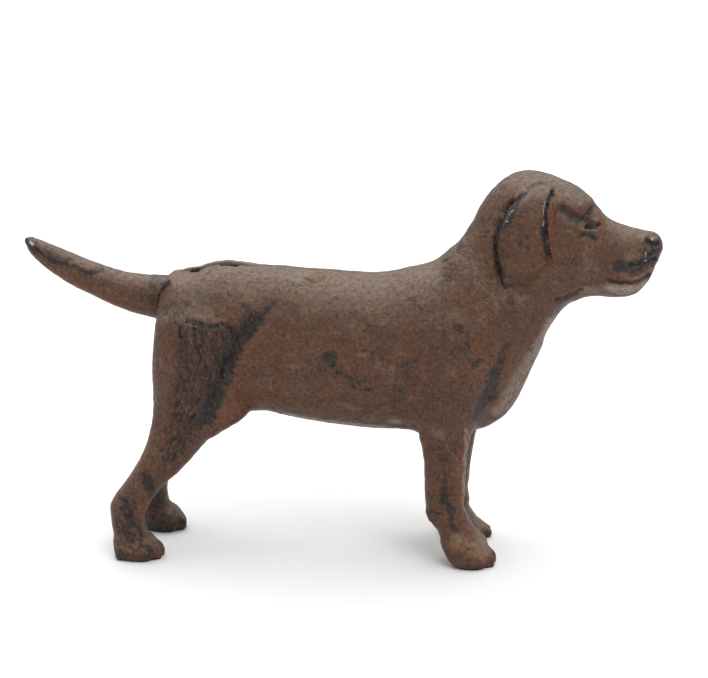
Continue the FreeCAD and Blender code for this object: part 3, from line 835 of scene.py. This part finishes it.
def looks(points, normals, side, hollow, noise):
    """Point attributes that the paint reads: blue-black oxide with some painted shade, bare rust, pale worn
    paint with painted highlights, a dusting with painted top light, and coat.
    """
    x, y, z = points.T
    wobble = np.stack((noise.layered(points + 40.0, 3.0, 3), noise.layered(points - 70.0, 3.0, 3)), 1)
    flat = points[:, [0, 2]] + wobble * 0.8
    facing = ramp(-0.1, 0.3, -normals[:, 1])
    inward = normals[:, 1]
    gaps = seam_gaps(x, y, z)
    if side == LEFT:
        # the left half's seam face is darker inside the two seam gaps, up to this height
        gap_dark_top = np.interp(x, (-61, -47), (122.9, 124.0))
        gaps *= ramp(0.4, 0.8, inward) * ramp(0.5, -0.2, z - gap_dark_top)
    # painted shade: leg faces that turn in towards the mid-plane are darkened below the belly, stored with
    # the oxide
    inner = ramp(0.2, 0.9, inward) * ramp(1.0, 3.0, -y)
    dark = [
        paint(flat, facing, PATINA_BOTH + (PATINA_RIGHT if side == RIGHT else ())),
        0.4 * ramp(0.5, 1.0, noise.layered(points, 9.0, 4)),
        0.8 * ramp(0.3, 1.0, hollow),
        0.8 * ramp(2.0, 0.2, z),
        0.9 * gaps,
        # painted shade on the legs' inward faces
        0.55 * inner * ramp(72, 50, z),
    ]
    light = [paint(flat, facing, PALE_BOTH)]
    if side == RIGHT:
        belly = between(-22, 25, 4, x) * ramp(72, 68, z)
        sliver = bump(normals[:, 2] + 0.75, 0.05) * ramp(0.0, 0.35, noise(points, 5.0))
        dark.append(1.1 * sliver * belly)
        light.append(0.75 * ramp(-0.70, -0.84, normals[:, 2]) * belly)
    else:
        # darker inward side of the far hind toes: toe dirt plus painted shade
        toes = between(-90, -70, 2, x) * ramp(6.5, 4.0, z) * ramp(-0.2, 0.3, inward)
        dark.append(0.85 * toes)
        seam_face = ramp(0.5, 0.9, inward) * ramp(0.6, 0.2, -y)
        back = between(-70, -38, 5, x) * ramp(108, 114, z)
        rim = (back + between(-30, 16, 6, x) * ramp(72, 66, z)) * ramp(7, 3, np.abs(y))
        light.append(0.65 * np.maximum(seam_face, rim))
    place = points[:, [0, 2]]
    edge = distance_to_outline(x, z, HAIR_CORNERS) + 3.0 * noise.layered(points, 6.0, 3)
    return {"patina_and_shade": np.maximum.reduce(dark), "rust": paint(flat, facing, RUST_BOTH),
            "pale": np.maximum.reduce(light), "dust_and_top_light": dust_and_top_light_on(normals),
            "coat": ramp(3.5, -4.0, edge) * facing, "coat_place": coat_place(place)}


def build_casting(node, side):
    """Sculpt one half around its CAD solid and put it in that solid's place."""
    noise = Noise(3 + side)
    points, quads, normals = surface(casting_field(node, side))
    push, hollow = displace(points, normals, side, noise)
    free = ramp(0.3, 1.2, -points[:, 1]) * ramp(0.2, 2.0, points[:, 2])
    for bore_x, bore_z in COUNTERBORES if side == LEFT else ():
        free *= ramp(5.6, 7.0, np.hypot(points[:, 0] - bore_x, points[:, 2] - bore_z))
    moved = points - normals * (push * free)[:, None]
    obj = to_object(node + "_casting", moved, quads, side, looks(points, normals, side, hollow, noise))
    settle(obj, node)
    return obj


TAIL_CRACK = ((-129.5, 131.6), (-125.6, 129), (-121.3, 126.4), (-115.8, 124.8), (-112, 123.6), (-108.6, 122),
              (-104.7, 121), (-100.4, 121.8))
TAIL_ROOT_X = -79.0
TAIL_PATINA = (
    (((-121.8, 126.6), (-120.4, 126.3)), 1.5, 1.0),
    (((-105, 121), (-103.6, 121)), 1.3, 0.9),
    (((-133.4, 134), (-132, 131.2), (-129.4, 129)), 0.9, 1.1),
    (TAIL_CRACK, 0.9, 0.9),
    (((-123, 129), (-114, 125.8)), 1.6, 0.5),
)
# a pale worn spot on the tail tip, painted bright as a glint
TAIL_PALE = ((((-130.8, 133.4), (-130.0, 132.6)), 1.0, 1.5),)
TAIL_UNDERSIDE = ((-125, 127), (-105, 117.5), (-85, 112), (-75, 110))


def tail_field():
    """The tail's field, softened all along but for its root, which fits the castings."""
    low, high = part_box("tail")
    field = Field([v / MM - MARGIN for v in low], [v / MM + MARGIN for v in high], TAIL_VOXEL)
    crisp = field.measure(*node_arrays("tail", RIGHT))
    soft = blurred(crisp, 0.7 / TAIL_VOXEL)
    root = ramp(TAIL_ROOT_X - 3, TAIL_ROOT_X, field.axis(0)).astype(np.float32)[:, None, None]
    field.values = soft * (1 - root) + crisp * root
    return field


def tail_push(points, flat, normals, noise):
    """How far each point of the tail is pushed in: a lap line, a worn tip and grain."""
    x, z = points[:, 0], points[:, 2]
    near, amount = stroke(flat, TAIL_CRACK, 0.75)
    crack = np.zeros(len(points), dtype=np.float32)
    crack[near] = amount * (0.8 + 0.5 * noise(points[near], 3.0))
    crack *= ramp(0.0, 0.4, -normals[:, 1])
    lap = np.interp(x, *zip(*TAIL_CRACK))
    above = ramp(0.0, 1.2, z - lap) * ramp(-99, -104, x)
    push = 0.75 * crack - 0.3 * above + 0.1 * noise.layered(points, 2.0, 2) + 0.25 * noise(points, 9.0)
    push += 0.35 * ramp(-127, -132, x) * noise(points, 2.2)
    push += 0.3 * ramp(-86, -94, x) + 0.45 * ramp(-122, -131, x)
    return push * ramp(TAIL_ROOT_X, TAIL_ROOT_X - 2, x)


def tail_looks(points, flat, normals):
    """The same point attributes as on the castings."""
    x = points[:, 0]
    facing = ramp(-0.1, 0.3, -normals[:, 1])
    blobs = paint(flat, facing, TAIL_PATINA)
    tip = ramp(-130.5, -133.2, x) * 0.9
    # darker towards the tail's root, where it goes into the body
    root_dark = ramp(-82, TAIL_ROOT_X, x) * 0.5
    below = points[:, 2] - np.interp(x, *zip(*TAIL_UNDERSIDE))
    return {"patina_and_shade": np.maximum(np.maximum(blobs, tip), root_dark), "rust": 0.7 * ramp(0.0, -4.0, below),
            "pale": paint(flat, facing, TAIL_PALE), "dust_and_top_light": dust_and_top_light_on(normals),
            "coat": np.zeros(len(points)), "coat_place": np.zeros((len(points), 3))}


def build_tail():
    """Sculpt the tail around its CAD solid and put it in that solid's place."""
    points, quads, normals = surface(tail_field())
    noise = Noise(9)
    flat = points[:, [0, 2]] + np.stack((noise(points, 2.5), noise(points + 50.0, 2.5)), 1) * 0.6
    moved = points - normals * tail_push(points, flat, normals, noise)[:, None]
    obj = to_object("tail_casting", moved, quads, RIGHT, tail_looks(points, flat, normals))
    settle(obj, "tail")
    return obj


# ---- materials

class Nodes:
    """Short ways to build a node material. An input is a number, a colour or another socket."""

    def __init__(self, name):
        self.material = bpy.data.materials.new(name)
        self.material.use_nodes = True
        self.tree = self.material.node_tree
        self.coordinates = self.add("TexCoord", {}).outputs["Object"]
        self.colour = None

    def add(self, kind, inputs, **settings):
        node = self.tree.nodes.new("ShaderNode" + kind)
        for key, value in settings.items():
            setattr(node, key, value)
        self.set_inputs(node, inputs)
        return node

    def set_inputs(self, node, inputs):
        for key, value in inputs.items():
            target = node.inputs[key]
            if isinstance(value, (int, float)):
                target.default_value = value
            elif isinstance(value, tuple):
                target.default_value = value if target.type == "VECTOR" else (*value, 1.0)
            else:
                self.tree.links.new(value, target)

    def noise(self, size_mm, detail=2.0, rough=0.5):
        """Noise from 0 to 1 with features about size_mm across."""
        return self.add("TexNoise", {"Vector": self.coordinates, "Scale": 1.0 / (size_mm * MM * 1.6),
                                     "Detail": detail, "Roughness": rough}).outputs["Fac"]

    def streaks(self, across_mm, along_mm):
        """Noise from 0 to 1 drawn out along the coat."""
        place = self.add("Attribute", {}, attribute_name="coat_place").outputs["Vector"]
        scale = (1.0 / across_mm, 1.0 / along_mm, 1.0)
        scaled = self.add("VectorMath", {0: place, 1: scale}, operation="MULTIPLY").outputs["Vector"]
        return self.add("TexNoise", {"Vector": scaled, "Scale": 0.6, "Detail": 3.0}).outputs["Fac"]

    def attribute(self, name):
        return self.add("Attribute", {}, attribute_name=name).outputs["Fac"]

    def ramp(self, value, low, high, out_low=0.0, out_high=1.0):
        """out_low at low, changing smoothly to out_high at high."""
        inputs = {"Value": value, "From Min": low, "From Max": high, "To Min": out_low, "To Max": out_high}
        return self.add("MapRange", inputs, interpolation_type="SMOOTHSTEP").outputs["Result"]

    def math(self, operation, a, b):
        return self.add("Math", {0: a, 1: b}, operation=operation).outputs[0]

    def blend(self, share, a, b):
        """Mix of two colours."""
        return self.add("Mix", {"Factor": share, 6: a, 7: b}, data_type="RGBA").outputs[2]

    def cover(self, share, colour):
        """Lay a colour over the colour so far."""
        self.colour = self.blend(share, self.colour, colour)

    def bump(self, height, strength, distance_mm, under=None):
        inputs = {"Strength": strength, "Distance": distance_mm * MM, "Height": height}
        if under is not None:
            inputs["Normal"] = under
        return self.add("Bump", inputs).outputs["Normal"]

    def finish(self, inputs):
        """The material, with its colour and other inputs on the shader."""
        self.set_inputs(self.tree.nodes["Principled BSDF"], {"Base Color": self.colour, **inputs})
        return self.material


BROWN = (0.088, 0.0385, 0.0200)
BROWN_DARK = (0.050, 0.0245, 0.0150)
BROWN_WARM = (0.102, 0.0415, 0.0195)
RED = (0.112, 0.035, 0.0150)
OLIVE = (0.078, 0.049, 0.029)
DUST_AND_TOP_LIGHT = (0.215, 0.170, 0.132)
SPECK_PALE = (0.205, 0.115, 0.070)
SPECK_DARK = (0.014, 0.009, 0.008)
RUST = (0.125, 0.040, 0.016)
PATINA = (0.0150, 0.0175, 0.0195)
PATINA_DEEP = (0.0032, 0.0040, 0.0048)
PALE = (0.27, 0.215, 0.165)
PALE_WARM = (0.30, 0.165, 0.085)
# grey-white of the painted glints and the most worn spots
WEAR_AND_GLINT = (0.42, 0.40, 0.40)
SCREW_STEEL = (0.10, 0.085, 0.075)
SCREW_STEEL_PALE = (0.16, 0.14, 0.13)
SCREW_RUST = (0.09, 0.04, 0.022)
FLOOR_LOW = (0.765, 0.765, 0.765)
FLOOR_HIGH = (0.78, 0.78, 0.78)
PAINT_GLOSS = 0.28
AMBIENT = 0.45


def casting_material():
    """Rust-brown paint: bare rust, pale worn paint with painted highlights and glints, blue-black oxide with
    some painted shade, and paler tops with painted top light, where the attributes say.
    """
    n = Nodes("painted_casting_iron")
    dust_and_lit_top, rusty, wear_and_highlight, patina_and_shade_attribute, coat = (n.attribute(key) for key in ("dust_and_top_light", "rust", "pale", "patina_and_shade", "coat"))
    n.colour = n.blend(n.ramp(n.noise(16, 3.0), 0.35, 0.65), BROWN, BROWN_WARM)
    n.cover(n.ramp(n.noise(4.5, 5.0, 0.65), 0.45, 0.72), BROWN_DARK)
    hue = n.noise(2.6, 5.0, 0.7)
    n.cover(n.ramp(hue, 0.50, 0.68, 0.0, 0.6), RED)
    n.cover(n.ramp(hue, 0.33, 0.48, 0.6, 0.0), OLIVE)
    patch = n.noise(6.5, 5.0, 0.7)
    n.cover(n.ramp(patch, 0.53, 0.72, 0.0, 0.4), DUST_AND_TOP_LIGHT)
    n.cover(n.ramp(patch, 0.28, 0.46, 0.75, 0.0), BROWN_DARK)
    # paler tops: a dusting plus painted light from above
    n.cover(n.math("MULTIPLY", dust_and_lit_top, n.ramp(n.noise(1.1, 4.0, 0.7), 0.3, 0.65, 0.1, 0.75)), DUST_AND_TOP_LIGHT)
    breakup = n.math("SUBTRACT", n.noise(1.5, 5.0, 0.75), 0.5)
    rust = n.math("ADD", rusty, n.math("MULTIPLY", breakup, 1.6))
    n.cover(n.ramp(rust, 0.2, 1.0, 0.0, 0.8), RUST)
    pale = n.math("ADD", wear_and_highlight, breakup)
    # pale worn paint and painted highlights, from the pale strokes
    n.cover(n.ramp(pale, 0.2, 1.0, 0.0, 0.75), n.blend(n.ramp(rusty, 0.1, 0.6), PALE, PALE_WARM))
    streak = n.streaks(0.6, 1.9)
    n.cover(n.math("MULTIPLY", coat, n.ramp(streak, 0.60, 0.40, 0.0, 0.8)), SPECK_DARK)
    coarse_speck = n.noise(0.95, 4.0, 0.75)
    fine_speck = n.noise(0.45, 2.0, 0.7)
    # fewer dark specks on the dusted, painted-lit tops
    dark_speck_share = n.ramp(dust_and_lit_top, 0.1, 0.9, 1.0, 0.45)
    n.cover(n.ramp(coarse_speck, 0.52, 0.70, 0.0, 0.45), SPECK_PALE)
    n.cover(n.math("MULTIPLY", dark_speck_share, n.ramp(coarse_speck, 0.30, 0.49, 0.85, 0.0)), SPECK_DARK)
    n.cover(n.ramp(fine_speck, 0.54, 0.72, 0.0, 0.3), SPECK_PALE)
    n.cover(n.math("MULTIPLY", dark_speck_share, n.ramp(fine_speck, 0.28, 0.47, 0.7, 0.0)), SPECK_DARK)
    patina_and_shade = n.math("ADD", patina_and_shade_attribute, n.math("MULTIPLY", breakup, 2.4))
    dark = n.math("MULTIPLY", n.ramp(patina_and_shade, 0.05, 0.95), n.ramp(patina_and_shade_attribute, 0.0, 0.4))
    deep = n.ramp(n.noise(1.7, 4.0, 0.7), 0.42, 0.60, 1.0, 0.0)
    n.cover(n.math("MULTIPLY", dark, n.ramp(coarse_speck, 0.40, 0.66, 0.97, 0.6)),
            n.blend(deep, PATINA, PATINA_DEEP))
    # painted glints: grey-white where the pale strokes are strongest
    n.cover(n.ramp(pale, 0.85, 1.3, 0.0, 0.85), WEAR_AND_GLINT)
    rough = n.ramp(n.noise(1.2, 3.0, 0.6), 0.3, 0.7, 0.38, 0.58)
    rough = n.math("SUBTRACT", rough, n.math("MULTIPLY", dark, 0.18))
    fine = n.bump(n.noise(0.8, 4.0, 0.65), 1.0, 0.6)
    coarse = n.bump(n.noise(2.4, 3.0, 0.55), 0.7, 1.0, fine)
    hairy = n.bump(n.math("MULTIPLY", coat, streak), 1.0, 0.9, coarse)
    return n.finish({"Roughness": rough, "Specular IOR Level": PAINT_GLOSS, "Normal": hairy})


def screw_material():
    """Dark worn steel with specks of rust."""
    n = Nodes("screw_steel_dark")
    n.colour = n.blend(n.ramp(n.noise(2.0, 3.0), 0.35, 0.7), SCREW_STEEL, SCREW_STEEL_PALE)
    n.cover(n.ramp(n.noise(1.0, 4.0, 0.7), 0.55, 0.7, 0.0, 0.7), SCREW_RUST)
    rough = n.ramp(n.noise(0.8, 3.0), 0.3, 0.7, 0.35, 0.55)
    return n.finish({"Metallic": 0.8, "Roughness": rough, "Normal": n.bump(n.noise(0.5, 2.0), 0.4, 0.1)})


def floor_material():
    n = Nodes("pale_paper")
    n.colour = n.blend(n.ramp(n.noise(60, 2.0), 0.3, 0.7), FLOOR_LOW, FLOOR_HIGH)
    return n.finish({"Roughness": 0.95, "Specular IOR Level": 0.0})


# ---- stage

FLOOR_REACH = 6.0  # m, far past the picture on every side
TARGET = Vector((0.006, 0.0, 0.0929))
TURN, LIFT = math.radians(4.0), math.radians(14.0)
DISTANCE = 0.85
LENS = 101.96  # mm, on a 36 mm wide sensor
# Name, direction towards the light, spread in degrees and strength.
SUNS = (
    ("top", (-0.05, 0.22, 1.0), 90, 3.1),
    ("front_key", (0.40, -0.80, 1.0), 30, 0.95),
)


def build_floor():
    corners = [(x * FLOOR_REACH, y * FLOOR_REACH, 0) for x, y in ((-1, -1), (1, -1), (1, 1), (-1, 1))]
    mesh = bpy.data.meshes.new("pale_floor")
    mesh.from_pydata(corners, [], [(0, 1, 2, 3)])
    mesh.materials.append(floor_material())
    floor = add_object("pale_floor", mesh)


def add_sun(name, toward, spread, strength):
    light = bpy.data.lights.new(name, "SUN")
    light.angle = math.radians(spread)
    light.energy = strength
    sun = add_object(name, light)
    sun.location = Vector(toward)
    sun.rotation_euler = Vector(toward).to_track_quat("Z", "Y").to_euler()


def add_camera():
    back = Vector((math.sin(TURN) * math.cos(LIFT), -math.cos(TURN) * math.cos(LIFT), math.sin(LIFT)))
    data = bpy.data.cameras.new("camera")
    data.lens = LENS
    data.sensor_width = 36.0
    camera = add_object("camera", data)
    camera.location = TARGET + back * DISTANCE
    camera.rotation_euler = back.to_track_quat("Z", "Y").to_euler()
    bpy.context.scene.camera = camera


def add_world():
    """A white tent that lights softly and looks pure white behind the floor."""
    world = bpy.data.worlds.new("white_tent")
    world.use_nodes = True
    tree = world.node_tree
    background = tree.nodes["Background"]
    background.inputs["Color"].default_value = (1.0, 1.0, 1.0, 1.0)
    path = tree.nodes.new("ShaderNodeLightPath")
    strength = tree.nodes.new("ShaderNodeMapRange")
    strength.inputs["To Min"].default_value = AMBIENT
    strength.inputs["To Max"].default_value = 1.0
    tree.links.new(path.outputs["Is Camera Ray"], strength.inputs["Value"])
    tree.links.new(strength.outputs["Result"], background.inputs["Strength"])
    bpy.context.scene.world = world


casting_paint = casting_material()
for piece in (build_casting("right_body_half", RIGHT), build_casting("left_body_half", LEFT), build_tail()):
    piece.data.materials.append(casting_paint)
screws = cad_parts["assembly_screws"]
screws.data.materials.clear()
screws.data.materials.append(screw_material())
build_floor()
add_world()
for sun in SUNS:
    add_sun(*sun)
add_camera()
bpy.context.scene.view_settings.view_transform = "Standard"
